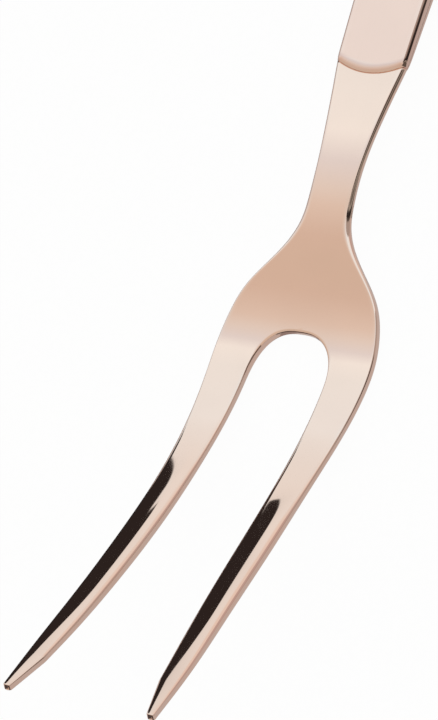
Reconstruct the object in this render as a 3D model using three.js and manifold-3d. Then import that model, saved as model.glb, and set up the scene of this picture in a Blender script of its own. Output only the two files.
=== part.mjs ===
// A two-tine carving fork with a hollow handle, in millimetres.
//
// The fork lies on its back on a table: +Y points to the end of the handle, +Z up, and the
// tines rise towards -Y. Inside this file y = 0 is the bottom of the slot between the
// tines and z = 0 is the front face of the handle; the group is moved at the end so that
// its origin is the middle of its footprint on the table.

import * as THREE from 'three';
import * as BufferGeometryUtils from 'three/addons/utils/BufferGeometryUtils.js';
import Module from 'manifold-3d';

const wasm = await Module();
wasm.setup();

// Driving dimensions.
const TIP_Y = -82.9;              // ends of the tines
const JOINT_Y = 53.1;             // corners of the joint between neck and handle
const HANDLE_END_Y = 168;         // far end of the handle
const JOINT_BULGE = 2.2;          // how far the joint line bows towards the tines
const JOINT_GAP = 0.3;            // clearance between pieces that touch
const WALL = 0.6;                 // sheet thickness of the handle shells
const HANDLE_STEP = 0.45;         // handle face above the neck face
const HANDLE_END_ROUND = 13;      // length of the rounded end of the handle
const TANG = { halfWidth: 3.4, endHalfWidth: 2.2, thickness: 1.1, startY: 46, endY: 98 };
const FILLER = { startY: 66, endY: 158 };

// Half width of the head, from the tips to the joint, as [y, half width].
const HEAD_OUTER = [
  [TIP_Y, 14.45], [-72, 14.7], [-60, 14.4], [-46, 14.25], [-32, 14.4], [-20, 15.1], [-10, 15.8],
  [-4, 15.9], [2, 15.1], [8, 12.8], [12, 9.85], [16, 7.0], [20, 5.25], [25, 4.65], [32, 4.65],
  [42, 5.6], [JOINT_Y, 7.1],
];

// Half width of the gap between the tines; the last stretch flares to make the points.
const POINT_Y = -75.8;
const GAP_AT_TIP = 13.0;
const GAP_SIDES = [[POINT_Y, 10.95], [-68, 9.95], [-56, 8.9], [-44, 8.3], [-30, 8.05], [-11, 7.95]];
const TIP_OVERRUN = 2;
const ARCH = { startY: -11, halfWidth: 7.95, power: 2.55 };

// Height of the front face along the head, and the thickness of the metal.
const HEAD_FACE = [
  [TIP_Y, 34.2], [-70, 25.7], [-56, 17.2], [-42, 9.1], [-28, 2.0], [-14, -3.2], [-3, -4.7],
  [8, -3.6], [20, -1.25], [34, 0.0], [JOINT_Y, -HANDLE_STEP],
];
const HEAD_THICKNESS = [
  [TIP_Y, 1.2], [-66, 1.8], [-50, 2.1], [-20, 2.1], [-3, 2.4], [8, 2.4], [28, 2.0], [JOINT_Y, 2.0],
];

// Half width and thickness of the handle.
const HANDLE_HALF_WIDTH = [[JOINT_Y, 7.15], [80, 7.85], [115, 8.85], [155, 9.8]];
const REST_DEPTH = 7.15;          // from the handle's face down to the table
const HANDLE_THICKNESS = [[JOINT_Y, 3.2], [80, 4.55], [110, 6.2], [130, 6.98], [145, REST_DEPTH]];

// Half size of the blocks that outlines are carried through; wider than the whole fork.
const REACH = 60;
const HANDLE_OVERRUN = 4;

const METAL = { color: 0xdcb5a0, roughness: 0.12, metalness: 1.0 };
const CEMENT = { color: 0xb9b2a6, roughness: 0.9, metalness: 0.0 };

// A smooth function through stations [y, value]: a cubic with the slope of its neighbours.
function smooth(stations) {
  const slope = (i) => {
    const [y0, v0] = stations[Math.max(i - 1, 0)];
    const [y1, v1] = stations[Math.min(i + 1, stations.length - 1)];
    return (v1 - v0) / (y1 - y0);
  };
  return (y) => {
    const inside = THREE.MathUtils.clamp(y, stations[0][0], stations.at(-1)[0]);
    let i = 0;
    while (i < stations.length - 2 && inside > stations[i + 1][0]) i += 1;
    const [y0, v0] = stations[i];
    const [y1, v1] = stations[i + 1];
    const h = y1 - y0;
    const t = (inside - y0) / h;
    const rise = h * (slope(i) * t * (1 - t) ** 2 - slope(i + 1) * t * t * (1 - t));
    return v0 + (v1 - v0) * t * t * (3 - 2 * t) + rise;
  };
}

function spread(from, to, count) {
  return Array.from({ length: count + 1 }, (_, i) => from + ((to - from) * i) / count);
}

// The joint line: the handle's end bows towards the tines by JOINT_BULGE at the middle.
function jointLine(shift, halfWidth, count) {
  return spread(halfWidth, -halfWidth, count).map((x) => {
    const y = JOINT_Y - JOINT_BULGE * (1 - (x / halfWidth) ** 2);
    return new THREE.Vector2(x, y + shift);
  });
}

const acrossX = (points) => points.map((p) => new THREE.Vector2(-p.x, p.y));

// The upper half of an edge mirrored in the fork's middle plane, walked the other way.
const mirrored = (points) => acrossX(points).reverse();

function solidFrom(geometry) {
  const bare = geometry.index ? geometry.toNonIndexed() : geometry;
  bare.deleteAttribute('normal');
  bare.deleteAttribute('uv');
  const merged = BufferGeometryUtils.mergeVertices(bare, 1e-5);
  return new wasm.Manifold(new wasm.Mesh({
    numProp: 3,
    vertProperties: new Float32Array(merged.attributes.position.array),
    triVerts: new Uint32Array(merged.index.array),
  }));
}

// An outline in the XY plane, carried up from z = low to z = high.
function planSolid(outline, low = -REACH, high = REACH) {
  const geometry = new THREE.ExtrudeGeometry(new THREE.Shape(outline), {
    depth: high - low, bevelEnabled: false, curveSegments: 1,
  });
  geometry.translate(0, 0, low);
  return solidFrom(geometry);
}

// An outline of (y, z) points, carried right across the fork along X.
function sideSolid(outline) {
  const geometry = new THREE.ExtrudeGeometry(new THREE.Shape(outline), {
    depth: 2 * REACH, bevelEnabled: false, curveSegments: 1,
  });
  geometry.translate(0, 0, -REACH);
  geometry.applyMatrix4(new THREE.Matrix4().set(0, 0, 1, 0, 1, 0, 0, 0, 0, 1, 0, 0, 0, 0, 0, 1));
  return solidFrom(geometry);
}

// Half of the gap between the tines, from beyond the tip up to the top of the arch.
function gapEdge() {
  const side = smooth(GAP_SIDES);
  const straight = spread(POINT_Y, ARCH.startY, 22).map((y) => new THREE.Vector2(side(y), y));
  const flare = (GAP_AT_TIP - GAP_SIDES[0][1]) / (POINT_Y - TIP_Y);
  const beyondTip = new THREE.Vector2(GAP_AT_TIP + flare * TIP_OVERRUN, TIP_Y - TIP_OVERRUN);
  const arch = spread(0, Math.PI / 2, 14).slice(1).map((angle) => new THREE.Vector2(
    ARCH.halfWidth * Math.cos(angle) ** (2 / ARCH.power),
    ARCH.startY - ARCH.startY * Math.sin(angle) ** (2 / ARCH.power)));
  return [beyondTip, ...straight, ...arch];
}

// The head from above. It runs past the tips, which the side profile then cuts square.
function headOutline() {
  const outer = smooth(HEAD_OUTER);
  const stations = spread(TIP_Y - TIP_OVERRUN, JOINT_Y - JOINT_GAP, 64);
  const edge = stations.map((y) => new THREE.Vector2(outer(y), y));
  const joint = jointLine(-JOINT_GAP, outer(JOINT_Y - JOINT_GAP), 12).slice(1, -1);
  const gap = gapEdge();
  return [...edge, ...joint, ...mirrored(edge), ...acrossX(gap).slice(0, -1), ...gap.reverse()];
}

// The head seen from the side: its front face, and its back face a thickness below it.
function headProfile() {
  const face = smooth(HEAD_FACE);
  const thickness = smooth(HEAD_THICKNESS);
  const stations = spread(TIP_Y, JOINT_Y, 56);
  const front = stations.map((y) => new THREE.Vector2(y, face(y)));
  const back = stations.map((y) => {
    const [from, to] = [Math.max(y - 0.5, TIP_Y), Math.min(y + 0.5, JOINT_Y)];
    const along = new THREE.Vector2(to - from, face(to) - face(from)).normalize();
    return new THREE.Vector2(y + thickness(y) * along.y, face(y) - thickness(y) * along.x);
  });
  return [...front, ...back.reverse()];
}

function tangSolid(clearance) {
  const middle = -HANDLE_THICKNESS[0][1] / 2;
  const half = TANG.thickness / 2 + clearance;
  const side = TANG.halfWidth + clearance;
  const end = TANG.endHalfWidth + clearance;
  const outline = [
    [-side, TANG.startY], [side, TANG.startY],
    [end, TANG.endY + clearance], [-end, TANG.endY + clearance],
  ];
  return planSolid(outline.map(([x, y]) => new THREE.Vector2(x, y)), middle - half, middle + half);
}

function forkHead() {
  const plate = planSolid(headOutline()).intersect(sideSolid(headProfile()));
  return plate.add(tangSolid(0));
}

// The handle from above, drawn in by a margin all round.
function handleOutline(margin) {
  const half = smooth(HANDLE_HALF_WIDTH);
  const turn = HANDLE_END_Y - HANDLE_END_ROUND;
  const front = jointLine(margin, half(JOINT_Y) - margin, 14).reverse();
  const side = spread(JOINT_Y, turn, 20).slice(1).map((y) => new THREE.Vector2(half(y) - margin, y));
  const round = spread(0, Math.PI / 2, 10).slice(1).map((angle) => new THREE.Vector2(
    (half(turn) - margin) * Math.cos(angle), turn + (HANDLE_END_ROUND - margin) * Math.sin(angle)));
  return [...front, ...side, ...round, ...mirrored(round).slice(1), ...mirrored(side)];
}

// A layer of the handle seen from the side, between two depths given as functions of y.
function handleLayer(top, bottom) {
  const stations = spread(JOINT_Y - HANDLE_OVERRUN, HANDLE_END_Y + HANDLE_OVERRUN, 34);
  const upper = stations.map((y) => new THREE.Vector2(y, top(y)));
  const lower = stations.map((y) => new THREE.Vector2(y, bottom(y)));
  return sideSolid([...upper.reverse(), ...lower]);
}

const handleDepth = smooth(HANDLE_THICKNESS);
const flat = (z) => () => z;

function handlePiece(margin, top, bottom) {
  return planSolid(handleOutline(margin)).intersect(handleLayer(top, bottom));
}

function handleHollow() {
  return handlePiece(WALL, flat(-WALL), (y) => WALL - handleDepth(y));
}

function handleFrontShell() {
  const half = handlePiece(0, flat(0), (y) => (JOINT_GAP - handleDepth(y)) / 2);
  return half.subtract(handleHollow()).subtract(tangSolid(JOINT_GAP));
}

function handleBackShell() {
  const half = handlePiece(0, (y) => -(JOINT_GAP + handleDepth(y)) / 2, (y) => -handleDepth(y));
  return half.subtract(handleHollow()).subtract(tangSolid(JOINT_GAP));
}

// Cement fills the hollow behind the end wall and leaves a pocket for the tang.
function handleFiller() {
  const margin = WALL + JOINT_GAP;
  const fill = handlePiece(margin, flat(-margin), (y) => margin - handleDepth(y));
  const stretch = [
    [-REACH, FILLER.startY], [REACH, FILLER.startY], [REACH, FILLER.endY], [-REACH, FILLER.endY],
  ];
  const block = planSolid(stretch.map(([x, y]) => new THREE.Vector2(x, y)));
  return fill.intersect(block).subtract(tangSolid(JOINT_GAP));
}

function namedMesh(name, solid, finish) {
  const { vertProperties, triVerts } = solid.getMesh();
  const geometry = new THREE.BufferGeometry();
  geometry.setAttribute('position', new THREE.Float32BufferAttribute(vertProperties, 3));
  geometry.setIndex(Array.from(triVerts));
  geometry.computeVertexNormals();
  const mesh = new THREE.Mesh(geometry, new THREE.MeshStandardMaterial(finish));
  mesh.name = name;
  return mesh;
}

const fork = new THREE.Group();
fork.add(namedMesh('fork_head', forkHead(), METAL));
fork.add(namedMesh('handle_front_shell', handleFrontShell(), METAL));
fork.add(namedMesh('handle_back_shell', handleBackShell(), METAL));
fork.add(namedMesh('handle_filler', handleFiller(), CEMENT));

// The origin is the middle of the footprint, on the table.
const box = new THREE.Box3().setFromObject(fork);
const middle = box.getCenter(new THREE.Vector3());
fork.position.set(-middle.x, -middle.y, -box.min.z);

export default fork;
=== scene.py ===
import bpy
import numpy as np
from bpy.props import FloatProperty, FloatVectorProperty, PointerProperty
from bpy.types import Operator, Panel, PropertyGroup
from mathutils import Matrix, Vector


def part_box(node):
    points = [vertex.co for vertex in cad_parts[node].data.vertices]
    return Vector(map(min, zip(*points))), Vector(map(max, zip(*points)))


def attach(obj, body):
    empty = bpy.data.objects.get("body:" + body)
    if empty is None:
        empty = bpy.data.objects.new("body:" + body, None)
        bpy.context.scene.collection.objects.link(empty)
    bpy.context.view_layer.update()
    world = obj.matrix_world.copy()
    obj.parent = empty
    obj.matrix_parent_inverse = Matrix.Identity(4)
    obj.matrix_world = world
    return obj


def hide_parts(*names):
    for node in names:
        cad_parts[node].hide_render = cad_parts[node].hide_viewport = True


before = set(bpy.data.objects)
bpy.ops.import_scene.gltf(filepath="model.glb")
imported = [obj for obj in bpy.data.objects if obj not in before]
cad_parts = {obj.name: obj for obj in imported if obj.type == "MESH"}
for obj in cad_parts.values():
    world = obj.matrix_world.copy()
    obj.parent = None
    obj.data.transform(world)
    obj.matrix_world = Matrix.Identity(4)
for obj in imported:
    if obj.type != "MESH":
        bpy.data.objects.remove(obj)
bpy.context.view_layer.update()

# A two-tine carving fork in rose gold coloured steel, with a hollow handle.
#
# Lengths in the station lists and constants are millimetres in the fork's own flat layout:
# x runs across the fork, y along it (0 at the bottom of the slot between the tines, more
# towards the handle) and h stands off the face of the metal. A layout point is bent into
# place by on_head() or on_handle(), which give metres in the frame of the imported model.

bl_info = {
    "name": "Rose Gold Carving Fork",
    "version": (1, 0, 0),
    "blender": (4, 5, 0),
    "location": "View3D > Sidebar > Fork",
    "description": "Builds a polished two-tine carving fork with a hollow handle",
    "category": "Add Mesh",
}

MM = 0.001

# The head, from the tips (first) to the joint with the handle (last).
TIP_Y = -82.9
ARCH_Y = -11.0                    # where the sides of the slot turn into its round bottom
SHOULDER_Y = 3.0                  # the outline's place level with the bottom of the slot
JOINT_Y = 53.1                    # corners of the joint between neck and handle
JOINT_BULGE = 2.2                 # how far the joint bows towards the tines
OUTER_EDGE = [
    (TIP_Y, 14.4), (-72, 14.65), (-60, 14.35), (-46, 14.2), (-32, 14.35), (-20, 15.05), (-10, 15.75),
    (-4, 15.85), (2, 15.05), (8, 12.75), (12, 9.8), (16, 6.95), (20, 5.2), (25, 4.6), (32, 4.6),
    (42, 5.55), (JOINT_Y, 7.05),
]
POINT_Y = -75.8                   # where each tine starts to narrow into its point
GAP_AT_TIP = 13.05
GAP_EDGE = [(POINT_Y, 11.0), (-68, 10.0), (-56, 8.95), (-44, 8.35), (-30, 8.1), (ARCH_Y, 8.0)]
ARCH_POWER = 2.55
FACE_HEIGHT = [
    (TIP_Y, 34.1), (-70, 25.7), (-56, 17.2), (-42, 9.1), (-28, 2.0), (-14, -3.2), (-3, -4.7),
    (8, -3.6), (20, -1.25), (34, 0.0), (JOINT_Y, -0.45),
]
THICKNESS = [
    (TIP_Y, 1.2), (-66, 1.8), (-50, 2.1), (-20, 2.1), (-3, 2.4), (8, 2.4), (28, 2.0),
    (JOINT_Y, 2.0),
]
TINE_CROWN = 0.22                 # how far the ridge of a tine's face stands above its edges
# Across a tine the ridge's place is 0 in the middle and 1 at the right edge.
RIDGE = (0.3, -0.25)              # before and after its drift
RIDGE_DRIFT = (-60, -80)          # where it drifts from the first to the second
RIDGE_SOFTNESS = 0.004            # smooths its top
CROWN_START = {"right": (-31, -41), "left": (-25, -36)}     # where it starts and where it is whole
CROWN_END = (-76, -92)            # where it starts to flatten again, and where it would be gone
FRONT_ROUND = [
    (TIP_Y, 0.14), (-72, 0.5), (-56, 0.7), (-26, 0.7), (-12, 0.45), (5, 0.42), (12, 0.5), (18, 0.95),
    (23, 1.2), (28, 0.95), (34, 0.75), (44, 0.9), (JOINT_Y, 0.9),
]
BACK_ROUND = [(TIP_Y, 0.18), (-72, 0.6), (-56, 0.9), (0, 1.0), (30, 0.9), (JOINT_Y, 0.9)]
TIP_CAP = 0.3                     # length of the rounded end of a tine
FITTED_GAP = 0.15                 # what shows between neck and handle
JOINT_BEND = 6.0                  # over so much of the neck its rows take on the joint's bow

# The tang, inside the handle.
TANG_HALF_WIDTH = (3.4, 2.2)
TANG_THICKNESS = 1.1
TANG_END_Y = 98.0
TANG_IN_NECK = 0.5                # how far it reaches into the neck
TANG_END_ROUND = 0.4              # length over which its ends close

# The handle.
HANDLE_END_Y = 168.0
HANDLE_END_ROUND = 13.0
HANDLE_EDGE = [(JOINT_Y, 7.1), (80, 7.8), (115, 8.8), (155, 9.75)]
HANDLE_DEPTH = [(JOINT_Y, 3.2), (80, 4.55), (110, 6.2), (130, 6.95), (145, 7.1), (155, 7.1)]
SHELL_WALL = 0.6
SEAM_GAP = 0.01                   # each shell stops this far from the middle of the seam

# Where the layout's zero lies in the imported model, found from its handle.
HANDLE_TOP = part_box("handle_front_shell")[1]
SHIFT = Vector((0.0, HANDLE_TOP.y - HANDLE_END_Y * MM, HANDLE_TOP.z))


# ---------------------------------------------------------------- curves and surfaces

def spline(stations):
    """A smooth curve through (place, value) stations, as a function on arrays of places.

    Between two stations the value is a cubic. The bends (second derivatives) at the stations
    solve the equations that make slope and bend run on unbroken, with no bend at both ends.
    """
    place, value = np.array(stations, float).T
    gap = np.diff(place)
    count = len(place)
    matrix = np.eye(count)
    inner = np.arange(1, count - 1)
    matrix[inner, inner - 1] = gap[:-1]
    matrix[inner, inner] = 2 * (gap[:-1] + gap[1:])
    matrix[inner, inner + 1] = gap[1:]
    change = np.zeros(count)
    change[1:-1] = 6 * np.diff(np.diff(value) / gap)
    bend = np.linalg.solve(matrix, change)

    def at(y):
        y = np.clip(y, place[0], place[-1])
        i = np.clip(np.searchsorted(place, y) - 1, 0, count - 2)
        a = (place[i + 1] - y) / gap[i]
        b = 1 - a
        bends = (a ** 3 - a) * bend[i] + (b ** 3 - b) * bend[i + 1]
        return a * value[i] + b * value[i + 1] + bends * gap[i] ** 2 / 6

    return at


def ramp(low, high, y):
    """0 below low, 1 above high, and 3t^2 - 2t^3 between them."""
    t = np.clip((np.asarray(y, float) - low) / (high - low), 0, 1)
    return t * t * (3 - 2 * t)


outer_edge = spline(OUTER_EDGE)
face_height = spline(FACE_HEIGHT)
thickness = spline(THICKNESS)
handle_edge = spline(HANDLE_EDGE)
front_round = spline(FRONT_ROUND)
back_round = spline(BACK_ROUND)
gap_sides = spline(GAP_EDGE)
handle_depth = spline(HANDLE_DEPTH)


def gap_edge(y):
    """Half the gap between the tines: a smooth side, then a straight flare at the point."""
    flare = GAP_EDGE[0][1] + (GAP_AT_TIP - GAP_EDGE[0][1]) * (POINT_Y - y) / (POINT_Y - TIP_Y)
    return np.where(y < POINT_Y, flare, gap_sides(y))


def on_head(x, y, h):
    """The head's side curve is z = face_height(y); a point stands h off it along its normal."""
    step = 0.05
    slope = (face_height(y + step) - face_height(y - step)) / (2 * step)
    length = np.sqrt(1 + slope ** 2)
    return np.stack([x, y - h * slope / length, face_height(y) + h / length], -1)


def on_handle(x, y, h):
    """The handle's face is level, so a point stands h straight above it."""
    return np.stack(np.broadcast_arrays(x, y, h), -1).astype(float)


def mitre(path, ends_at_middle):
    """The outward direction at each point of a half outline that starts at x = 0.

    It is the sum of the normals of the two segments that meet there, over one plus their dot
    product, so a path moved along it by d lies d away from both. An end at x = 0 takes its
    mirrored segment as the other one, and an open end takes its own segment twice.
    """
    mirror = np.array([-1.0, 1.0])
    beyond = path[-2] * mirror if ends_at_middle else 2 * path[-1] - path[-2]
    longer = np.vstack([path[1] * mirror, path, beyond])
    along = np.diff(longer, axis=0)
    along /= np.linalg.norm(along, axis=1)[:, None]
    normal = np.stack([along[:, 1], -along[:, 0]], 1)
    before, after = normal[:-1], normal[1:]
    return (before + after) / (1 + (before * after).sum(1))[:, None]


END_FADE = 14                     # power by which a filled surface forgets its start and its end


def filled(left, right, start, end):
    """A surface between four edges: P = (1 - v) left(u) + v right(u), plus what start and end
    stand off the straight line between their ends, times (1 - u)^n and u^n; n is END_FADE."""
    rows, across = len(left), len(start)
    u = np.linspace(0, 1, rows)[:, None, None]
    v = np.linspace(0, 1, across)[None, :, None]
    straight = (1 - v) * left[:, None] + v * right[:, None]
    from_start = start - ((1 - v[0]) * start[0] + v[0] * start[-1])
    from_end = end - ((1 - v[0]) * end[0] + v[0] * end[-1])
    return straight + (1 - u) ** END_FADE * from_start + u ** END_FADE * from_end


def quarter(steps):
    """Angles of a quarter turn, from the face (0) to the side (90 degrees)."""
    return np.linspace(0, np.pi / 2, steps + 1)


WELD_DIGITS = 5                   # points that agree to so many digits of a millimetre are one


class Patchwork:
    """Grids of points that share their edges, gathered and welded into one mesh."""

    def __init__(self):
        self.points, self.quads, self.rims, self.count = [], [], [], 0

    def add(self, right, rim, turned=False, left=None):
        """Adds a (rows, columns, 3) grid and its mirror image in x, or the mirror image of the
        left grid. The grid faces the way of columns x rows, or the other way if it is turned."""
        rows, columns = right.shape[:2]
        index = np.arange(rows * columns).reshape(rows, columns)
        corners = [index[:-1, :-1], index[:-1, 1:], index[1:, 1:], index[1:, :-1]]
        quads = np.stack([c.ravel() for c in corners], 1)
        for grid, side in ((right, 1.0), (right if left is None else left, -1.0)):
            self.points.append(grid.reshape(-1, 3) * [side, 1, 1])
            self.rims.append(np.broadcast_to(rim, (rows, columns)).ravel())
            self.quads.append((quads if (side > 0) != turned else quads[:, ::-1]) + self.count)
            self.count += rows * columns

    def mesh(self, name):
        """Welds points that coincide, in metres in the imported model's frame."""
        points = np.vstack(self.points)
        rims = np.concatenate(self.rims)
        places = np.round(points, WELD_DIGITS) + 0.0
        _, first, twin = np.unique(places, axis=0, return_index=True, return_inverse=True)
        quads = twin.ravel()[np.vstack(self.quads)]
        doubled = quads == np.roll(quads, -1, axis=1)
        pinched = doubled.sum(1) == 1
        triangles = quads[pinched][~doubled[pinched]].reshape(-1, 3)
        faces = quads[~doubled.any(1)].tolist() + triangles.tolist()
        mesh = bpy.data.meshes.new(name)
        mesh.from_pydata((points[first] * MM + np.array(SHIFT)).tolist(), [], faces)
        mesh.polygons.foreach_set("use_smooth", np.ones(len(mesh.polygons), bool))
        rim = mesh.attributes.new("rim", "FLOAT", "POINT")
        rim.data.foreach_set("value", rims[first].astype(np.float32))
        mesh.update()
        return mesh


def nearness(grid, path, reach):
    """1 on the path and 0 at reach or further from it, for each point of a flat grid."""
    flat = grid.reshape(-1, 2)
    nearest = np.min(np.hypot(*(flat[:, None, :] - path[None]).transpose(2, 0, 1)), axis=1)
    return np.clip(1 - nearest / reach, 0, 1).reshape(grid.shape[:2])


def finish_piece(name, mesh, material, slot, *stands_for):
    """Makes a piece of the fork from its mesh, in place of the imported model's nodes."""
    piece = bpy.data.objects.new(name, mesh)
    bpy.context.scene.collection.objects.link(piece)
    mesh.materials.append(material)
    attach(piece, "root")
    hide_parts(*stands_for)
    return piece


# ---------------------------------------------------------------- the head

HEAD_ROWS = (190, 46, 120)        # along the tines, round the slot's bottom, along the neck
HEAD_ACROSS = 24
ROUND_STEPS = 6
WALL_STEPS = 3
WEAR_REACH = 2.0                  # how far from an edge wear can show
WEAR_STRIDE = 3                   # every so many points of an outline are measured to


def joint_line(x):
    """The U of the joint: a parabola that bows towards the tines between the two corners."""
    return JOINT_Y - JOINT_BULGE * (1 - (x / handle_edge(JOINT_Y)) ** 2)


def head_edges():
    """The right half of the head, flat: its gap side, its outer side and the end of the tine."""
    tine, arch, neck = HEAD_ROWS
    tine_y = np.linspace(TIP_Y + TIP_CAP, ARCH_Y, tine + 1)
    turn = np.linspace(0, np.pi / 2, arch + 1)[1:]
    arch_x = gap_edge(ARCH_Y) * np.cos(turn).clip(0) ** (2 / ARCH_POWER)
    arch_y = ARCH_Y * (1 - np.sin(turn) ** (2 / ARCH_POWER))
    arch_x[-1] = 0.0
    gap = np.stack([np.r_[gap_edge(tine_y), arch_x], np.r_[tine_y, arch_y]], 1)
    outer_y = np.r_[tine_y, np.linspace(ARCH_Y, SHOULDER_Y, arch + 1)[1:],
                    np.linspace(SHOULDER_Y, JOINT_Y - FITTED_GAP, neck + 1)[1:]]
    outer = np.stack([outer_edge(outer_y), outer_y], 1)
    turn = np.linspace(np.pi, 0, HEAD_ACROSS + 1)
    middle, half = (outer[0, 0] + gap[0, 0]) / 2, (outer[0, 0] - gap[0, 0]) / 2
    tip = np.stack([middle + half * np.cos(turn), outer[0, 1] - TIP_CAP * np.sin(turn)], 1)
    return gap, outer, tip


def head_crown(x, y, side):
    """A tine's face is crowned: highest along its ridge, and level with the edges at them.

    With q running from -1 at the slot to 1 at the outer edge, and t the distance from the ridge
    over the distance from the ridge to the edge on that side, it stands (1 - |t|^1.5) times the
    crown, which comes and goes smoothly along the tine. On both tines the ridge lies right of
    the middle and drifts to the left of it on the way to the point."""
    low, high = gap_edge(y), outer_edge(y)
    q = np.clip(2 * (x - low) / (high - low) - 1, -1, 1)
    ridge = RIDGE[0] + (RIDGE[1] - RIDGE[0]) * ramp(-RIDGE_DRIFT[0], -RIDGE_DRIFT[1], -y)
    ridge = ridge if side == "right" else -ridge
    t = (q - ridge) / np.where(q > ridge, 1 - ridge, 1 + ridge)
    start, whole = CROWN_START[side]
    along = ramp(-start, -whole, -y) * (1 - ramp(-CROWN_END[0], -CROWN_END[1], -y))
    return TINE_CROWN * along * (1 - (t * t + RIDGE_SOFTNESS) ** 0.75)


def head_mesh():
    """The head is a plate with a rounded rim, bent along the side curve.

    The rim is a profile carried round the outline: a quarter ellipse from the front face to
    the side, the straight side, and a quarter ellipse to the back face. Drawn in by r at the
    face, a point of the quarter at angle a is r (1 - sin a) inside the outline and
    r (1 - cos a) below the face. The two faces fill what the rims leave, and the neck's end is
    cut off square along the joint line.
    """
    gap, outer, tip = head_edges()
    sides = [gap[::-1], tip[1:-1], outer]
    path = np.vstack(sides)
    out = mitre(path, ends_at_middle=False)
    front, back = front_round(path[:, 1:]), back_round(path[:, 1:])
    angle = quarter(ROUND_STEPS)
    side = np.linspace(0, 1, WALL_STEPS + 1)[1:-1]
    inset = np.hstack([front * (1 - np.sin(angle)), np.zeros((len(path), len(side))),
                       back * (1 - np.sin(angle[::-1]))])
    flat = path[:, None] - inset[..., None] * out[:, None]
    to_joint = joint_line(flat[..., 0]) - joint_line(path[-1, 0])
    flat[..., 1] += to_joint * ramp(JOINT_Y - JOINT_BEND, JOINT_Y - FITTED_GAP, path[:, 1:])
    metal = thickness(flat[..., 1])
    below = front * (1 - np.cos(angle))
    above = back * (1 - np.cos(angle[::-1]))
    wall = below[:, -1:] + (metal[:, :1] - above[:, :1] - below[:, -1:]) * side
    fore = slice(0, below.shape[1] + wall.shape[1])
    depth = np.hstack([below, wall, metal[:, -len(angle):] - above])

    def bent(x, y, h, side_name, fore):
        h = h.copy()
        h[:, fore] += head_crown(x[:, fore], y[:, fore], side_name)
        return on_head(x, y, h)

    rim = Patchwork()
    rims = [bent(flat[..., 0], flat[..., 1], -depth, name, fore) for name in ("right", "left")]
    rim.add(rims[0], 1.0, left=rims[1])
    ends = []
    for column, turned in ((0, False), (-1, True)):
        face = head_face(np.split(flat[:, column], np.cumsum([len(part) for part in sides])[:-1]))
        x, y = face[..., 0], face[..., 1]
        h = -thickness(y) if turned else np.zeros_like(y)
        crowned = slice(0, 0) if turned else slice(None)
        grids = [bent(x, y, h, name, crowned) for name in ("right", "left")]
        rim.add(grids[0], nearness(face, path[::WEAR_STRIDE], WEAR_REACH), turned, left=grids[1])
        ends.append(np.vstack([grids[0][-1], rims[0][-1, ::-1 if turned else 1][1:len(angle)]]))
    across = np.linspace(0, 1, WALL_STEPS + 1)[None, :, None]
    rim.add(ends[0][:, None] * (1 - across) + ends[1][:, None] * across, 1.0, turned=True)
    add_tang(rim)
    return rim.mesh("fork_head")


def head_face(edges):
    """Fills a face inside the gap, tip and outer edges as the rounding has drawn them in."""
    inset_gap, inset_outer = edges[0][::-1], edges[2]
    inset_tip = np.vstack([inset_gap[:1], edges[1], inset_outer[:1]])
    joint_x = np.linspace(0, inset_outer[-1, 0], HEAD_ACROSS + 1)
    inset_joint = np.stack([joint_x, inset_outer[-1, 1] + joint_line(joint_x) - joint_line(joint_x[-1])], 1)
    neck = HEAD_ROWS[-1]
    middle_y = np.linspace(inset_gap[-1, 1], inset_joint[0, 1], neck + 1)[1:]
    middle = np.stack([np.zeros(neck), middle_y], 1)
    return filled(np.vstack([inset_gap, middle]), inset_outer, inset_tip, inset_joint)


def add_tang(patchwork):
    """The tang is a flat bar that narrows evenly. Its section is a superellipse of power 5,
    |x/a|^5 + |z/b|^5 = 1, and its two ends close to a point over a short rounding."""
    turn = np.linspace(-np.pi / 2, np.pi / 2, 33)
    power = 2 / 5
    across = np.cos(turn).clip(0) ** power
    up = np.sign(np.sin(turn)) * np.abs(np.sin(turn)) ** power
    across[[0, -1]] = 0.0
    start = JOINT_Y - JOINT_BULGE - TANG_IN_NECK
    end_round = np.sin(quarter(5))
    end_step = TANG_END_ROUND * (1 - np.cos(quarter(5)))
    y = np.r_[start + end_step, np.linspace(start, TANG_END_Y, 30)[1:-1], TANG_END_Y - end_step[::-1]]
    size = np.r_[end_round, np.ones(28), end_round[::-1]]
    half = np.interp(y, [start, TANG_END_Y], TANG_HALF_WIDTH)
    x = across[None] * (half * size)[:, None]
    z = up[None] * (size * TANG_THICKNESS / 2)[:, None] - handle_depth(JOINT_Y) / 2
    patchwork.add(on_handle(x, y[:, None], z), 0.0, turned=True)


# ---------------------------------------------------------------- the handle

HANDLE_ROWS = (150, 40)           # along its side, round its end
HANDLE_ACROSS = 22
SHELL_WALL_STEPS = 4
INNER_ROUND = 0.2                 # the least rounding on the inside of a shell
CORNER_FAN = 5.0                  # how far along the outline a corner's lean is spread
SLOT_SIDE = 0.2                   # clearance at the tang's sides in the shells' end walls
SLOT_FACE = 0.05                  # and at its faces
SLOT_DEPTH_MARGIN = 0.01          # rows this near to the inside of the end wall don't step back


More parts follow.
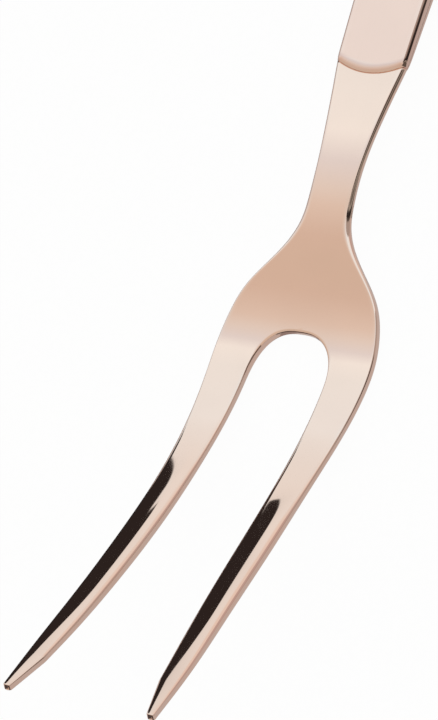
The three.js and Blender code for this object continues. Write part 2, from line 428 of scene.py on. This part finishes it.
def handle_edges():
    """The right half of the handle, flat: the joint, the side and round to the far end.

    The far end is a quarter ellipse, so slope and side run on into it."""
    along, turn_count = HANDLE_ROWS
    turn_y = HANDLE_END_Y - HANDLE_END_ROUND
    joint_x = np.linspace(0, handle_edge(JOINT_Y), HANDLE_ACROSS + 1)
    joint = np.stack([joint_x, joint_line(joint_x)], 1)
    side_y = np.linspace(JOINT_Y, turn_y, along + 1)
    turn = np.linspace(0, np.pi / 2, turn_count + HANDLE_ACROSS + 1)[1:]
    round_x = handle_edge(turn_y) * np.cos(turn)
    round_x[-1] = 0.0
    round_y = turn_y + HANDLE_END_ROUND * np.sin(turn)
    side = np.stack([np.r_[handle_edge(side_y), round_x[:turn_count]],
                     np.r_[side_y, round_y[:turn_count]]], 1)
    end = np.stack([round_x[turn_count - 1:], round_y[turn_count - 1:]], 1)[::-1]
    return joint, side, end


def fanned(path, out, corner, reach):
    """Spreads a corner's lean over its neighbours, so that lines drawn in from them don't cross.

    At a corner the mitre is the normal plus a share of the direction of travel. Each neighbour
    gets the same share of its own direction, fading to none at reach along the path."""
    step = np.diff(path, axis=0)
    length = np.linalg.norm(step, axis=1)
    travel = np.vstack([step[:1], step[:-1] + step[1:], step[-1:]])
    travel /= np.linalg.norm(travel, axis=1)[:, None]
    place = np.r_[0, np.cumsum(length)]
    place -= place[corner]
    before = out[corner] @ (step[corner - 1] / length[corner - 1])
    after = out[corner] @ (step[corner] / length[corner])
    share = np.where(place < 0, before, np.where(place > 0, after, 0.0)) * (1 - ramp(0, reach, abs(place)))
    return out + share[:, None] * travel


def rounded(distance, reach, drop):
    """How far a rounding has dropped at a distance from the edge: a quarter ellipse that is
    level at reach and further in, and has dropped by drop, steeply, at the edge."""
    inside = 1 - np.clip(distance / reach, 0, 1)
    return drop * (1 - np.sqrt(1 - inside ** 2))


def shell_skin(inset, rounding, joint_rounding, seam, deep):
    """One skin of a shell, inset inside the outline and as far below the face.

    A rim runs round it: from where the face starts to round, over the side's rounding and down
    to the seam. The joint's rounding and the side's add up where they meet, at the corner.
    deep(y, depth) turns a depth into a height, for the front or the back shell.
    Returns the rim's grid, the face's grid and the face's wear mask."""
    joint, side, end = handle_edges()
    parts = [joint, side[1:], end[::-1][1:]]
    path = np.vstack(parts)
    out = mitre(path, ends_at_middle=True)
    out = fanned(path, out, len(joint) - 1, CORNER_FAN)
    half = handle_edge(JOINT_Y)
    at_joint = np.arange(len(path)) < len(joint)

    def joint_reach(x):
        return joint_rounding[0] + (rounding[0] - joint_rounding[0]) * np.clip(x / half, 0, 1) ** 4

    def joint_drop(x, y):
        steepness = 2 * JOINT_BULGE * x / half ** 2
        distance = (y - joint_line(x)) / np.sqrt(1 + steepness ** 2) - inset
        return rounded(distance, joint_reach(x), joint_rounding[1])

    reach = np.where(at_joint, joint_reach(path[:, 0]), rounding[0])
    path = path - inset * out
    angle = quarter(ROUND_STEPS + 2)
    flat = path[:, None] - (reach[:, None] * (1 - np.sin(angle)))[..., None] * out[:, None]
    x, y = flat[..., 0], flat[..., 1]
    side_drop = np.where(at_joint[:, None], rounded(handle_edge(y) - x - inset, *rounding),
                         rounding[1] * (1 - np.cos(angle)))
    depth = inset + joint_drop(x, y) + side_drop
    down = np.linspace(0, 1, SHELL_WALL_STEPS + 1)[1:]
    flat = np.concatenate([flat, np.repeat(path[:, None], SHELL_WALL_STEPS, 1)], 1)
    depth = np.hstack([depth, depth[:, -1:] + (seam(path)[:, None] - depth[:, -1:]) * down])
    rim = on_handle(flat[..., 0], flat[..., 1], deep(flat[..., 1], depth))

    edge = np.split(flat[:, 0], np.cumsum([len(part) for part in parts])[:-1])
    inset_side = np.vstack([edge[0][-1:], edge[1]])
    inset_end = np.vstack([edge[1][-1:], edge[2]])[::-1]
    rows = len(inset_side)
    middle = np.stack([np.zeros(rows), np.linspace(edge[0][0, 1], inset_end[0, 1], rows)], 1)
    plate = filled(middle, inset_side, edge[0], inset_end)
    x, y = plate[..., 0], plate[..., 1]
    face = on_handle(x, y, deep(y, inset + joint_drop(x, y)))
    return rim, face, nearness(plate, path[::WEAR_STRIDE], WEAR_REACH)


def shell_mesh(name, is_front, sizes):
    """A shell is an outer skin, an inner skin one wall inside it, and the rim at the seam that
    joins them. In its end wall the rim steps back to let the tang through."""

    def seam(path):
        half = handle_depth(path[:, 1]) / 2 - SEAM_GAP
        near_joint = path[:, 1] < JOINT_Y + SHELL_WALL - SLOT_DEPTH_MARGIN
        slot = near_joint & (path[:, 0] < TANG_HALF_WIDTH[0] + SLOT_SIDE)
        return np.where(slot, half - TANG_THICKNESS / 2 - SLOT_FACE, half)

    def deep(y, depth):
        return -depth if is_front else depth - handle_depth(y)

    front = (sizes.front_round_in / MM, sizes.front_round_down / MM)
    back = (sizes.back_round_in / MM, sizes.back_round_down / MM)
    joint = (sizes.joint_round_in / MM, sizes.joint_round_down / MM)
    inner_joint = (INNER_ROUND, INNER_ROUND)
    rounding = front if is_front else back
    inner_rounding = tuple(max(size - SHELL_WALL, INNER_ROUND) for size in rounding)
    rim, face, wear = shell_skin(0.0, rounding, joint, seam, deep)
    inner_rim, inner_face, _ = shell_skin(SHELL_WALL, inner_rounding, inner_joint, seam, deep)
    patchwork = Patchwork()
    patchwork.add(rim, 1.0, turned=not is_front)
    patchwork.add(face, wear, turned=not is_front)
    patchwork.add(inner_rim, 0.0, turned=is_front)
    patchwork.add(inner_face, 0.0, turned=is_front)
    patchwork.add(np.stack([rim[:, -1], inner_rim[:, -1]], 1), 0.0, turned=not is_front)
    return patchwork.mesh(name)


# ---------------------------------------------------------------- nodes and finishes

def node(tree, kind, settings=(), inputs=()):
    """Makes one node. An input's value is a number, a colour or another node's output."""
    made = tree.nodes.new(kind)
    for name, value in dict(settings).items():
        setattr(made, name, value)
    for name, value in dict(inputs).items():
        if isinstance(value, bpy.types.NodeSocket):
            tree.links.new(value, made.inputs[name])
        else:
            made.inputs[name].default_value = value
    return made


def number(tree, operation, first, second=0.0):
    """Two numbers joined by a sum, a product or the like."""
    return node(tree, "ShaderNodeMath", {"operation": operation}, {0: first, 1: second}).outputs[0]


def eased(tree, value, low, high, to_low=0.0, to_high=1.0):
    """A smooth step: to_low where value is below low, to_high where it is above high."""
    made = node(tree, "ShaderNodeMapRange", {"interpolation_type": "SMOOTHSTEP"},
                {"Value": value, "From Min": low, "From Max": high, "To Min": to_low, "To Max": to_high})
    return made.outputs["Result"]


def mixed(tree, factor, first, second):
    """Two colours mixed: the first where factor is 0, the second where it is 1."""
    return node(tree, "ShaderNodeMix", {"data_type": "RGBA"}, {0: factor, 6: first, 7: second}).outputs[2]


def stretched(tree, vector, scale, turn=(0, 0, 0)):
    """Coordinates turned and then scaled, so that a noise on them runs out into lines."""
    made = node(tree, "ShaderNodeMapping", (), {"Vector": vector, "Scale": scale, "Rotation": turn})
    return made.outputs["Vector"]


def noise(tree, vector, scale, detail=2.0):
    """Smooth noise between 0 and 1. Scale is how many of its waves fit into one unit."""
    made = node(tree, "ShaderNodeTexNoise", (), {"Vector": vector, "Scale": scale, "Detail": detail})
    return made.outputs["Fac"]


def shared_group(name, inputs, outputs):
    """A node group with named inputs (name: kind and default) and number outputs."""
    tree = bpy.data.node_groups.new(name, "ShaderNodeTree")
    for title, (kind, default) in inputs.items():
        socket = tree.interface.new_socket(title, in_out="INPUT", socket_type=kind)
        if default is not None:
            socket.default_value = default
    for title in outputs:
        tree.interface.new_socket(title, in_out="OUTPUT", socket_type="NodeSocketFloat")
    return tree, tree.nodes.new("NodeGroupInput").outputs, tree.nodes.new("NodeGroupOutput").inputs


# The ways that hair-fine scratches run: a turn of the coordinates, then their scale.
SCRATCH_WAYS = (
    ((0, 0, 0), (2600, 90, 2600)),
    ((0, 0, 0.22), (3100, 120, 3100)),
    ((0.1, 0, -0.35), (2300, 160, 2300)),
)


def make_groups():
    """The effects that more than one finish uses."""
    vector = ("NodeSocketVector", None)

    tree, given, result = shared_group(
        "Uneven Polish", {"Vector": vector, "Size": ("NodeSocketFloat", 0.01)}, ["Cloud", "Ripple"])
    scale = number(tree, "DIVIDE", 1.0, given["Size"])
    cloud = noise(tree, given["Vector"], scale, 3.0)
    ripple = noise(tree, given["Vector"], number(tree, "MULTIPLY", scale, 0.6), 0.0)
    tree.links.new(eased(tree, cloud, 0.35, 0.7), result["Cloud"])
    tree.links.new(ripple, result["Ripple"])

    tree, given, result = shared_group(
        "Fine Scratches", {"Vector": vector, "Share": ("NodeSocketFloat", 0.3)}, ["Lines"])
    lines = None
    for turn, scale in SCRATCH_WAYS:
        streak = noise(tree, stretched(tree, given["Vector"], scale, turn), 1.0, 1.0)
        low = number(tree, "SUBTRACT", 0.75, number(tree, "MULTIPLY", given["Share"], 0.2))
        line = eased(tree, streak, low, number(tree, "ADD", low, 0.05))
        lines = line if lines is None else number(tree, "MAXIMUM", lines, line)
    tree.links.new(lines, result["Lines"])

    tree, given, result = shared_group(
        "Edge Wear", {"Vector": vector, "Rim": ("NodeSocketFloat", 0.0)}, ["Wear"])
    patches = eased(tree, noise(tree, given["Vector"], 160.0, 4.0), 0.38, 0.66)
    close = number(tree, "POWER", given["Rim"], 3.0)
    tree.links.new(number(tree, "MULTIPLY", close, patches), result["Wear"])


def use_group(tree, name, inputs):
    """Puts a shared group into a material and gives its outputs."""
    made = tree.nodes.new("ShaderNodeGroup")
    made.node_tree = bpy.data.node_groups[name]
    for title, value in inputs.items():
        if isinstance(value, bpy.types.NodeSocket):
            tree.links.new(value, made.inputs[title])
        else:
            made.inputs[title].default_value = value
    return made.outputs


def new_material(name):
    """A material with an empty tree: gives it, its tree and the coordinates of its object."""
    material = bpy.data.materials.new(name)
    material.use_nodes = True
    tree = material.node_tree
    tree.nodes.clear()
    return material, tree, tree.nodes.new("ShaderNodeTexCoord").outputs["Object"]


def rose_gold(name, finish, brushed):
    """Polished steel with a thin rose gold coating: paler where edges are worn, a little
    uneven in polish, with hair-fine scratches mostly along its length."""
    material, tree, place = new_material(name)
    polish = use_group(tree, "Uneven Polish", {"Vector": place, "Size": 0.012})
    scratch = use_group(tree, "Fine Scratches", {"Vector": place, "Share": 0.4 if brushed else 0.3})
    rim = node(tree, "ShaderNodeAttribute", {"attribute_name": "rim"}).outputs["Fac"]
    worn = use_group(tree, "Edge Wear", {"Vector": place, "Rim": rim})["Wear"]
    worn = number(tree, "MULTIPLY", worn, finish.edge_wear)

    coat = finish.shell_gold if brushed else finish.rose_gold
    deep = [channel * (1 - finish.deepening) for channel in coat]
    gold = mixed(tree, number(tree, "MULTIPLY", polish["Cloud"], 0.5), [*coat, 1], [*deep, 1])
    colour = mixed(tree, worn, gold, [*finish.bare_steel, 1])
    roughness = eased(tree, polish["Cloud"], 0.0, 1.0, finish.roughness, finish.roughness + 0.015)
    scratched = number(tree, "MULTIPLY", scratch["Lines"], 0.05 if brushed else 0.015)
    roughness = number(tree, "ADD", roughness, scratched)
    roughness = number(tree, "ADD", roughness, number(tree, "MULTIPLY", worn, 0.12))

    height = number(tree, "MULTIPLY", polish["Ripple"], finish.ripple)
    cut = number(tree, "MULTIPLY", scratch["Lines"], finish.scratch_depth)
    height = number(tree, "SUBTRACT", height, cut)
    bump = node(tree, "ShaderNodeBump", (), {"Height": height, "Distance": 1.0, "Strength": 1.0})
    surface = node(tree, "ShaderNodeBsdfPrincipled", (), {
        "Base Color": colour, "Metallic": 1.0, "Roughness": roughness, "Normal": bump.outputs["Normal"]})
    node(tree, "ShaderNodeOutputMaterial", (), {"Surface": surface.outputs[0]})
    return material


GRAIN_SIZE = 0.0008
SAND = (0.62, 0.58, 0.52)
DAMP = (0.2, 0.19, 0.18)


def cement(finish):
    """Set cement: pale grey with sandy grains, some darker damp stains and a gritty skin."""
    material, tree, place = new_material("cement_filler")
    grains = noise(tree, place, 1 / GRAIN_SIZE, 5.0)
    stain = noise(tree, place, 0.1 / GRAIN_SIZE, 3.0)
    cloud = use_group(tree, "Uneven Polish", {"Vector": place, "Size": 0.006})["Cloud"]
    tone = mixed(tree, eased(tree, grains, 0.35, 0.7), [*finish.cement, 1], [*SAND, 1])
    tone = mixed(tree, eased(tree, stain, 0.45, 0.75, 0.0, 0.5), tone, [*DAMP, 1])
    roughness = eased(tree, cloud, 0.0, 1.0, 0.78, 0.95)
    bump = node(tree, "ShaderNodeBump", (), {"Height": grains, "Distance": 0.0003})
    surface = node(tree, "ShaderNodeBsdfPrincipled", (), {
        "Base Color": tone, "Roughness": roughness, "Normal": bump.outputs["Normal"]})
    node(tree, "ShaderNodeOutputMaterial", (), {"Surface": surface.outputs[0]})
    return material


# ---------------------------------------------------------------- light, floor and camera

def compass(tree):
    """A sky direction's heading (0 ahead along +Y, 90 to the right) and elevation, in degrees,
    and its share along +Y."""
    sky = node(tree, "ShaderNodeTexCoord").outputs["Generated"]
    x, y, z = node(tree, "ShaderNodeSeparateXYZ", (), {0: sky}).outputs
    heading = number(tree, "DEGREES", number(tree, "ARCTAN2", x, y))
    elevation = number(tree, "DEGREES", number(tree, "ARCSINE", z))
    return heading, elevation, y


def card(tree, heading, elevation, left, right, low, high, left_lean, right_lean, soft):
    """How much of the sky a card covers: 1 between its left and right headings and its low and
    high elevations, 0 outside. Its sides lean by so many degrees for each of elevation."""
    from_left = number(tree, "SUBTRACT", heading, number(tree, "MULTIPLY", elevation, left_lean))
    from_right = number(tree, "SUBTRACT", heading, number(tree, "MULTIPLY", elevation, right_lean))
    covered = eased(tree, from_left, left - soft, left + soft)
    for share in (eased(tree, from_right, right - soft, right + soft, 1.0, 0.0),
                  eased(tree, elevation, low - soft, low + soft),
                  eased(tree, elevation, high - soft, high + soft, 1.0, 0.0)):
        covered = number(tree, "MULTIPLY", covered, share)
    return covered


# The big soft light: its colour by how far a direction leans towards +Y.
SOFT_LIGHT = [
    (-0.1, (0.69, 0.61, 0.53)),
    (0.0, (0.72, 0.63, 0.56)),
    (0.13, (0.79, 0.74, 0.69)),
    (0.2, (0.82, 0.83, 0.82)),
    (0.29, (0.82, 0.89, 0.96)),
    (0.37, (0.97, 1.10, 1.16)),
    (0.5, (0.92, 1.06, 1.13)),
    (0.75, (0.92, 1.06, 1.14)),
    (0.85, (0.88, 0.95, 0.98)),
]
LIGHT_PEAK = 1.2                  # SOFT_LIGHT's colours are divided by this, so none is above 1

# Cards round the table, each over the ones before it. In degrees: left, right, low and high
# side, lean of the left and the right side and softness; then the colour over LIGHT_PEAK.
BLACK = (0.022, 0.018, 0.018)
CARDS = [
    (-11, 60, -28, 24, 0.0, 0.0, 8.0, (0.70, 0.64, 0.60)),
    (30, 60, -28, 12, 0.0, 0.0, 4.0, (0.46, 0.37, 0.36)),
    (57, 112, -20, 51, 0.0, 0.0, 2.0, (0.10, 0.09, 0.08)),
    (73.5, 76, -20, 51, 0.0, 0.0, 0.7, (0.32, 0.31, 0.28)),
    (65.5, 73.5, -20, 60, 0.0, 0.0, 0.7, BLACK),
    (65.5, 68.0, -20, 60, 0.0, 0.0, 0.7, (0.08, 0.07, 0.06)),
    (50, 65, -20, 55, 0.0, 0.0, 0.7, (0.36, 0.32, 0.30)),
    (-48.5, -31.3, 9.8, 22, 0.45, 0.0, 0.2, BLACK),
    (-44.2, -27.5, 10.6, 15.2, 1.0, 0.0, 0.2, BLACK),
    (-48.5, -38.5, 1, 11.2, 0.45, 1.0, 0.2, BLACK),
    (-48.5, -27.5, -60, 3, 0.45, 0.0, 0.2, BLACK),
    (-178, -120, -90, 15, 0.0, 0.0, 3.0, (0.25, 0.20, 0.19)),
    (-190, -135, -40, 12, 0.0, 0.0, 3.0, (0.06, 0.05, 0.05)),
    (160, 190, -40, 12, 0.0, 0.0, 3.0, (0.06, 0.05, 0.05)),
]


def light_world(stage):
    """One big soft light overhead with dark and tinted cards round the table. The camera itself
    sees a plain pale backdrop."""
    world = bpy.data.worlds.new("soft_studio")
    bpy.context.scene.world = world
    world.use_nodes = True
    tree = world.node_tree
    tree.nodes.clear()
    heading, elevation, lean = compass(tree)
    lean = number(tree, "ADD", number(tree, "MULTIPLY", lean, 0.5), 0.5)
    soft_light = node(tree, "ShaderNodeValToRGB", (), {"Fac": lean})
    stops = soft_light.color_ramp.elements
    while len(stops) < len(SOFT_LIGHT):
        stops.new(1.0)
    for stop, (share, colour) in zip(stops, SOFT_LIGHT):
        stop.position = (share + 1) / 2
        stop.color = [c / LIGHT_PEAK for c in colour] + [1]
    low = eased(tree, elevation, -4.0, 20.0, 0.55, 1.0)
    shade = node(tree, "ShaderNodeMix", {"data_type": "RGBA", "blend_type": "MULTIPLY"}, {
        0: 1.0, 6: soft_light.outputs["Color"], 7: low}).outputs[2]
    below = eased(tree, elevation, -2.0, 2.0, 1.0, 0.0)
    shade = mixed(tree, below, shade, [*stage.floor_reflected, 1])
    for *edges, colour in CARDS:
        covered = card(tree, heading, elevation, *edges)
        shade = mixed(tree, covered, shade, [*colour, 1])
    seen = node(tree, "ShaderNodeLightPath").outputs["Is Camera Ray"]
    studio = node(tree, "ShaderNodeBackground", (), {"Color": shade, "Strength": LIGHT_PEAK * stage.light})
    backdrop = node(tree, "ShaderNodeBackground", (), {"Color": [*stage.backdrop, 1]})
    both = node(tree, "ShaderNodeMixShader", (), {0: seen, 1: studio.outputs[0], 2: backdrop.outputs[0]})
    node(tree, "ShaderNodeOutputWorld", (), {"Surface": both.outputs[0]})


def floor_material(stage):
    """Pale paper, mostly as bright as the backdrop whatever light falls on it."""
    material, tree, place = new_material("pale_floor")
    fibre = noise(tree, place, 700.0, 3.0)
    paper = mixed(tree, eased(tree, fibre, 0.3, 0.7, 0.0, 0.02), [*stage.backdrop, 1], [0.8, 0.8, 0.8, 1])
    glow = node(tree, "ShaderNodeEmission", (), {"Color": paper})
    matt = node(tree, "ShaderNodeBsdfDiffuse", (), {"Color": paper})
    both = node(tree, "ShaderNodeMixShader", (), {
        0: stage.floor_shadow, 1: glow.outputs[0], 2: matt.outputs[0]})
    node(tree, "ShaderNodeOutputMaterial", (), {"Surface": both.outputs[0]})
    return material


def make_floor(stage):
    """A level square under the fork, left out of the reflections in the metal."""
    half = stage.floor_size / 2
    mesh = bpy.data.meshes.new("floor")
    corners = np.array([[-1, -1, 0], [1, -1, 0], [1, 1, 0], [-1, 1, 0]]) * half
    mesh.from_pydata(corners.tolist(), [], [(0, 1, 2, 3)])
    mesh.materials.append(floor_material(stage))
    floor = bpy.data.objects.new("floor", mesh)
    bpy.context.scene.collection.objects.link(floor)
    floor.visible_glossy = False


def aim_camera(stage):
    """The camera stands the given distance from its target, at a heading and an elevation,
    and is rolled about its line of sight."""
    heading, up, roll = stage.camera_heading, stage.camera_elevation, stage.camera_roll
    back = Vector((np.sin(heading) * np.cos(up), -np.cos(heading) * np.cos(up), np.sin(up)))
    level = Vector((np.cos(heading), np.sin(heading), 0))
    right = np.cos(roll) * level + np.sin(roll) * back.cross(level)
    turn = Matrix((right, back.cross(right), back)).transposed().to_4x4()
    data = bpy.data.cameras.new("camera")
    data.lens = stage.camera_lens
    data.clip_start = 0.01
    camera = bpy.data.objects.new("camera", data)
    bpy.context.scene.collection.objects.link(camera)
    stand = Vector(stage.camera_target) + back * stage.camera_distance
    camera.matrix_world = Matrix.Translation(stand) @ turn
    bpy.context.scene.camera = camera


# ---------------------------------------------------------------- the add-on

class ForkFinish(PropertyGroup):
    """Colours and polish of the fork's metal."""

    rose_gold: FloatVectorProperty(
        name="Rose Gold", description="Colour of the coating",
        subtype="COLOR", size=3, min=0, max=1, default=(0.92, 0.69, 0.575))
    shell_gold: FloatVectorProperty(
        name="Shell Rose Gold", description="Colour of the coating on the handle's shells",
        subtype="COLOR", size=3, min=0, max=1, default=(0.865, 0.625, 0.53))
    deepening: FloatProperty(
        name="Deepening", description="How much darker the coating is where it is a little thicker",
        min=0, max=1, default=0.04)
    bare_steel: FloatVectorProperty(
        name="Bare Steel", description="Colour where the coating is worn thin",
        subtype="COLOR", size=3, min=0, max=1, default=(0.86, 0.74, 0.66))
    cement: FloatVectorProperty(
        name="Cement", description="Colour of the filler in the handle",
        subtype="COLOR", size=3, min=0, max=1, default=(0.42, 0.40, 0.37))
    roughness: FloatProperty(
        name="Roughness", description="How blurred reflections are where the polish is best",
        min=0, max=1, default=0.035)
    edge_wear: FloatProperty(
        name="Edge Wear", description="How far the coating is rubbed off along edges",
        min=0, max=1, default=0.25)
    ripple: FloatProperty(
        name="Ripple", description="Height of the waves left by polishing",
        subtype="DISTANCE", unit="LENGTH", min=0, max=0.001, default=0.00001)
    scratch_depth: FloatProperty(
        name="Scratch Depth", description="Depth of the hair-fine scratches",
        subtype="DISTANCE", unit="LENGTH", min=0, max=0.0001, default=0.00000005)


class ForkHandle(PropertyGroup):
    """How the handle's shells are rounded."""

    front_round_in: FloatProperty(
        name="Front Rounding Width", description="How far in from its side the front starts to round",
        subtype="DISTANCE", unit="LENGTH", min=0.0003, max=0.003, default=0.0011)
    front_round_down: FloatProperty(
        name="Front Rounding Depth", description="How far down the front's rounding reaches",
        subtype="DISTANCE", unit="LENGTH", min=0.0003, max=0.0016, default=0.0011)
    back_round_in: FloatProperty(
        name="Back Rounding Width", description="How far in from its side the back starts to round",
        subtype="DISTANCE", unit="LENGTH", min=0.0003, max=0.004, default=0.0026)
    back_round_down: FloatProperty(
        name="Back Rounding Depth", description="How far up the back's rounding reaches",
        subtype="DISTANCE", unit="LENGTH", min=0.0003, max=0.0016, default=0.0011)
    joint_round_in: FloatProperty(
        name="Joint Rounding Width", description="How far back the handle's end starts to round",
        subtype="DISTANCE", unit="LENGTH", min=0.0001, max=0.004, default=0.0018)
    joint_round_down: FloatProperty(
        name="Joint Rounding Depth", description="How far down that rounding reaches",
        subtype="DISTANCE", unit="LENGTH", min=0.0001, max=0.001, default=0.0004)


class ForkStage(PropertyGroup):
    """Floor, light and camera."""

    light: FloatProperty(name="Light", description="Strength of the studio light", min=0, default=1.0)
    backdrop: FloatVectorProperty(
        name="Backdrop", description="Colour of the floor and of what is behind it",
        subtype="COLOR", size=3, min=0, max=1, default=(1.0, 1.0, 1.0))
    floor_reflected: FloatVectorProperty(
        name="Floor in Reflections", description="How the room below the horizon shows in the metal",
        subtype="COLOR", size=3, min=0, max=1, default=(0.46, 0.42, 0.41))
    floor_shadow: FloatProperty(
        name="Floor Shadow", description="How much of the floor's tone comes from the light on it",
        min=0, max=1, default=0.03)
    floor_size: FloatProperty(
        name="Floor Size", description="Side of the square floor",
        subtype="DISTANCE", unit="LENGTH", min=0.3, default=0.6)
    camera_target: FloatVectorProperty(
        name="Camera Target", description="The point that the camera looks at",
        subtype="XYZ", unit="LENGTH", size=3,
        default=tuple(Vector((-0.01184, -0.00905, -0.0004)) + SHIFT))
    camera_distance: FloatProperty(
        name="Camera Distance", description="From the camera to its target",
        subtype="DISTANCE", unit="LENGTH", min=0.1, default=0.6)
    camera_heading: FloatProperty(
        name="Camera Heading", description="0 looks along the fork from its tips, 90 across it",
        subtype="ANGLE", unit="ROTATION", default=float(np.radians(57.6)))
    camera_elevation: FloatProperty(
        name="Camera Elevation", description="Angle of the line of sight above the floor",
        subtype="ANGLE", unit="ROTATION", default=float(np.radians(57.8)))
    camera_roll: FloatProperty(
        name="Camera Roll", description="Turn about the line of sight",
        subtype="ANGLE", unit="ROTATION", default=float(np.radians(-44.5)))
    camera_lens: FloatProperty(
        name="Camera Lens", description="Focal length in millimetres",
        subtype="DISTANCE_CAMERA", min=20, default=165.0)


class FORK_OT_finishes(Operator):
    """Makes the finishes of the metal and the cement, and the shader groups they share"""

    bl_idname = "fork.finishes"
    bl_label = "Make Finishes"

    def execute(self, context):
        make_groups()
        rose_gold("rose_gold_steel_polished", context.scene.fork_finish, False)
        rose_gold("rose_gold_shell_polished", context.scene.fork_finish, True)
        cement(context.scene.fork_finish)
        return {"FINISHED"}


class FORK_OT_head(Operator):
    """Forges the head: two tines, shoulder, neck and the tang inside the handle"""

    bl_idname = "fork.head"
    bl_label = "Fork Head"

    def execute(self, context):
        finish_piece("carving_fork_head", head_mesh(), bpy.data.materials["rose_gold_steel_polished"],
                     "rose_gold_steel", "fork_head")
        return {"FINISHED"}


class FORK_OT_handle(Operator):
    """Presses the front and back shells of the hollow handle"""

    bl_idname = "fork.handle"
    bl_label = "Handle Shells"

    def execute(self, context):
        material = bpy.data.materials["rose_gold_shell_polished"]
        sizes = context.scene.fork_handle
        for name, is_front in (("handle_front_shell", True), ("handle_back_shell", False)):
            mesh = shell_mesh(name, is_front, sizes)
            finish_piece("formed_" + name, mesh, material, "rose_gold_shell", name)
        return {"FINISHED"}


class FORK_OT_filler(Operator):
    """Gives the cement in the handle its finish"""

    bl_idname = "fork.filler"
    bl_label = "Handle Filler"

    def execute(self, context):
        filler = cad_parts["handle_filler"]
        for slot in filler.material_slots:
            slot.material = bpy.data.materials["cement_filler"]
        return {"FINISHED"}


class FORK_OT_stage(Operator):
    """Sets the floor, the light and the camera"""

    bl_idname = "fork.stage"
    bl_label = "Stage"

    def execute(self, context):
        stage = context.scene.fork_stage
        light_world(stage)
        make_floor(stage)
        aim_camera(stage)
        context.scene.view_settings.view_transform = "Standard"
        return {"FINISHED"}


class FORK_PT_panel(Panel):
    """Lists the fork's pieces and their settings"""

    bl_idname = "FORK_PT_panel"
    bl_label = "Carving Fork"
    bl_space_type = "VIEW_3D"
    bl_region_type = "UI"
    bl_category = "Fork"

    def draw(self, context):
        for operator in OPERATORS:
            self.layout.operator(operator.bl_idname)
        for group in (context.scene.fork_finish, context.scene.fork_handle, context.scene.fork_stage):
            box = self.layout.box()
            for name in group.bl_rna.properties.keys():
                if name not in ("rna_type", "name"):
                    box.prop(group, name)


OPERATORS = (FORK_OT_finishes, FORK_OT_head, FORK_OT_handle, FORK_OT_filler, FORK_OT_stage)
SETTINGS = {"fork_finish": ForkFinish, "fork_handle": ForkHandle, "fork_stage": ForkStage}


def register():
    for kind in (*SETTINGS.values(), *OPERATORS, FORK_PT_panel):
        bpy.utils.register_class(kind)
    for name, kind in SETTINGS.items():
        setattr(bpy.types.Scene, name, PointerProperty(type=kind))


def unregister():
    for name in SETTINGS:
        delattr(bpy.types.Scene, name)
    for kind in (FORK_PT_panel, *reversed(OPERATORS), *reversed(SETTINGS.values())):
        bpy.utils.unregister_class(kind)


def build_fork():
    register()
    bpy.ops.fork.finishes()
    bpy.ops.fork.head()
    bpy.ops.fork.handle()
    bpy.ops.fork.filler()
    bpy.ops.fork.stage()


if __name__ == "__main__":
    build_fork()
